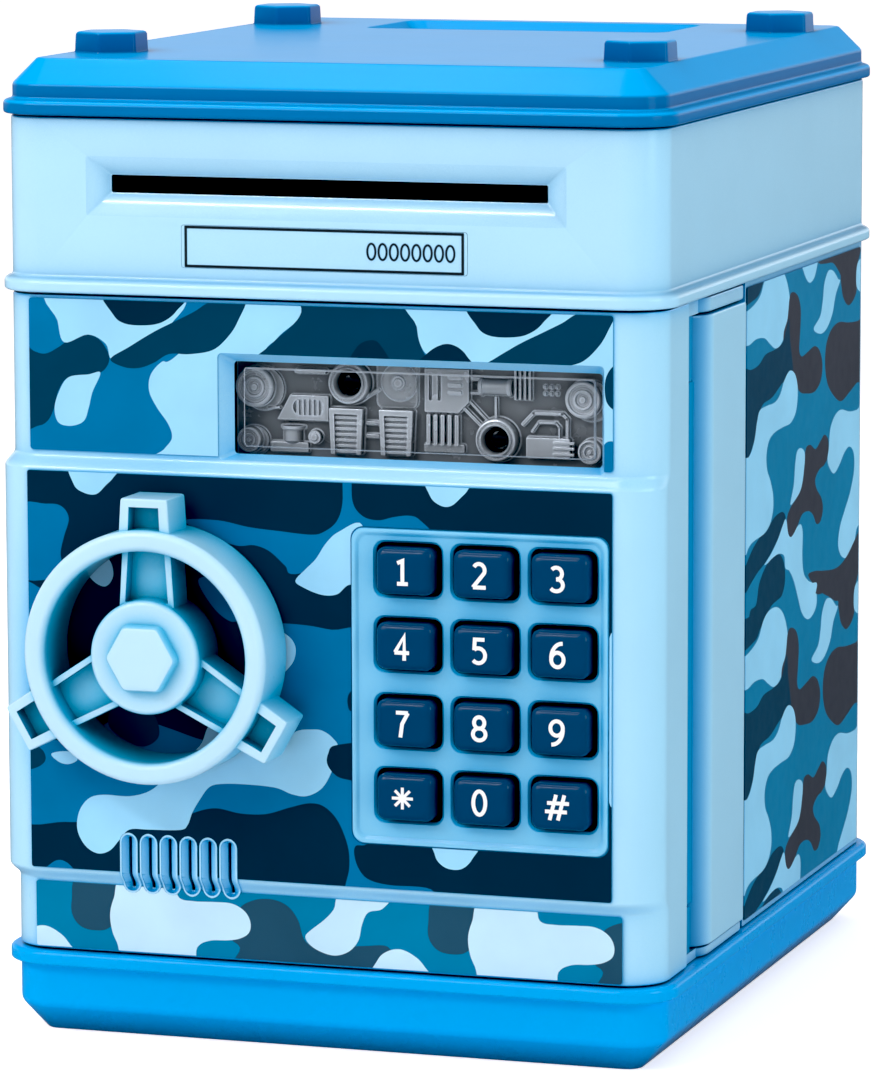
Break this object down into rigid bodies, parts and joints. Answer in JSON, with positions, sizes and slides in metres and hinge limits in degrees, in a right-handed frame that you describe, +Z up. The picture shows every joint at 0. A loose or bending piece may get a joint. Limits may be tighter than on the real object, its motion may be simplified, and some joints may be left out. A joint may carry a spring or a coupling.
{
  "type": "toy safe coin bank",
  "caption": "Toy safe coin bank with a hinged door, handwheel latch, keypad, powered note slot in the head, coin slot in the lid and battery base.",
  "frame": {"origin": "centre of the base's underside", "axes": "+Z up, +X to the right, the door and keypad face -Y"},
  "size_m": [0.1308, 0.1723, 0.1869],
  "materials": {
    "pale_plastic": "semi-gloss moulded",
    "blue_plastic": "semi-gloss moulded",
    "navy_plastic": "semi-gloss moulded",
    "printed_film": "printed camouflage film",
    "white_plastic": "satin",
    "grey_plastic": "satin",
    "black_plastic": "satin",
    "metallised_plastic": "metallised plastic",
    "steel": "satin",
    "rubber": "matt",
    "circuit_board": "solder mask",
    "cell_jacket": "gloss",
    "clear_plastic": "clear moulded",
    "red_lens": "clear tinted",
    "green_lens": "clear tinted"
  },
  "bodies": {
    "bank": {"base_tray": "blue_plastic", "cell_1": "cell_jacket", "cell_2": "cell_jacket", "cell_3": "cell_jacket", "battery_contact_left": "steel", "battery_contact_right": "steel", "chamber_floor": "pale_plastic", "body_shell": "pale_plastic", "head_housing": "pale_plastic", "lid": "blue_plastic", "lid_screw_left": "steel", "lid_screw_right": "steel", "feeder_frame": "grey_plastic", "feed_motor": "steel", "sensor_board": "circuit_board", "hinge_pin_lower": "steel", "hinge_pin_upper": "steel", "side_sticker_left": "printed_film", "side_sticker_right": "printed_film", "number_label": "white_plastic"},
    "battery_door": {"battery_cover": "blue_plastic", "battery_cover_screw": "steel"},
    "door": {"door_shell": "pale_plastic", "door_back_cover": "grey_plastic", "cover_screw_left": "steel", "cover_screw_right": "steel", "window_lens": "clear_plastic", "window_relief": "metallised_plastic", "led_red": "red_lens", "led_green": "green_lens", "keypad_bezel": "pale_plastic", "keypad_membrane": "rubber", "main_pcb": "circuit_board", "speaker": "black_plastic", "solenoid": "steel", "sticker_upper": "printed_film", "sticker_middle": "printed_film", "sticker_lower": "printed_film"},
    "handwheel_set": {"handwheel": "pale_plastic", "latch_cam": "grey_plastic", "latch_tongue": "steel", "latch_screw": "steel"},
    "plunger": {"solenoid_plunger": "steel"},
    "drive_roller_set": {"drive_shaft": "steel", "drive_roller": "rubber", "drive_gear": "white_plastic"},
    "idler": {"idler_roller": "white_plastic"},
    "pinion": {"motor_pinion": "white_plastic"},
    "key_1_cap": {"key_1": "navy_plastic"},
    "key_2_cap": {"key_2": "navy_plastic"},
    "key_3_cap": {"key_3": "navy_plastic"},
    "key_4_cap": {"key_4": "navy_plastic"},
    "key_5_cap": {"key_5": "navy_plastic"},
    "key_6_cap": {"key_6": "navy_plastic"},
    "key_7_cap": {"key_7": "navy_plastic"},
    "key_8_cap": {"key_8": "navy_plastic"},
    "key_9_cap": {"key_9": "navy_plastic"},
    "key_star_cap": {"key_star": "navy_plastic"},
    "key_0_cap": {"key_0": "navy_plastic"},
    "key_hash_cap": {"key_hash": "navy_plastic"}
  },
  "joints": [
    {"name": "door_swing", "type": "hinge", "parent": "bank", "child": "door", "pos_m": [0.0575, -0.0315, 0.078], "axis": [0, 0, 1], "range_deg": [0, 110]},
    {"name": "handwheel_turn", "type": "hinge", "parent": "door", "child": "handwheel_set", "pos_m": [-0.03, -0.0786, 0.075], "axis": [0, -1, 0], "range_deg": [0, 90]},
    {"name": "plunger_slide", "type": "slide", "parent": "door", "child": "plunger", "axis": [-1, 0, 0], "range_m": [0, 0.003]},
    {"name": "drive_roller_spin", "type": "hinge", "parent": "bank", "child": "drive_roller_set", "pos_m": [0, -0.061, 0.1653], "axis": [1, 0, 0], "continuous": true},
    {"name": "idler_roller_spin", "type": "hinge", "parent": "bank", "child": "idler", "pos_m": [0, -0.061, 0.1546], "axis": [1, 0, 0], "continuous": true},
    {"name": "motor_pinion_spin", "type": "hinge", "parent": "bank", "child": "pinion", "pos_m": [-0.0542, -0.0526, 0.1653], "axis": [1, 0, 0], "continuous": true},
    {"name": "battery_door_lift", "type": "slide", "parent": "bank", "child": "battery_door", "axis": [0, 0, -1], "range_m": [0, 0.02]},
    {"name": "key_1_press", "type": "slide", "parent": "door", "child": "key_1_cap", "axis": [0, 1, 0], "range_m": [0, 0.0015]},
    {"name": "key_2_press", "type": "slide", "parent": "door", "child": "key_2_cap", "axis": [0, 1, 0], "range_m": [0, 0.0015]},
    {"name": "key_3_press", "type": "slide", "parent": "door", "child": "key_3_cap", "axis": [0, 1, 0], "range_m": [0, 0.0015]},
    {"name": "key_4_press", "type": "slide", "parent": "door", "child": "key_4_cap", "axis": [0, 1, 0], "range_m": [0, 0.0015]},
    {"name": "key_5_press", "type": "slide", "parent": "door", "child": "key_5_cap", "axis": [0, 1, 0], "range_m": [0, 0.0015]},
    {"name": "key_6_press", "type": "slide", "parent": "door", "child": "key_6_cap", "axis": [0, 1, 0], "range_m": [0, 0.0015]},
    {"name": "key_7_press", "type": "slide", "parent": "door", "child": "key_7_cap", "axis": [0, 1, 0], "range_m": [0, 0.0015]},
    {"name": "key_8_press", "type": "slide", "parent": "door", "child": "key_8_cap", "axis": [0, 1, 0], "range_m": [0, 0.0015]},
    {"name": "key_9_press", "type": "slide", "parent": "door", "child": "key_9_cap", "axis": [0, 1, 0], "range_m": [0, 0.0015]},
    {"name": "key_star_press", "type": "slide", "parent": "door", "child": "key_star_cap", "axis": [0, 1, 0], "range_m": [0, 0.0015]},
    {"name": "key_0_press", "type": "slide", "parent": "door", "child": "key_0_cap", "axis": [0, 1, 0], "range_m": [0, 0.0015]},
    {"name": "key_hash_press", "type": "slide", "parent": "door", "child": "key_hash_cap", "axis": [0, 1, 0], "range_m": [0, 0.0015]}
  ],
  "couplings": [
    {"joint": "idler_roller_spin", "follows": "drive_roller_spin", "ratio": -1.0808},
    {"joint": "motor_pinion_spin", "follows": "drive_roller_spin", "ratio": -1.8}
  ]
}
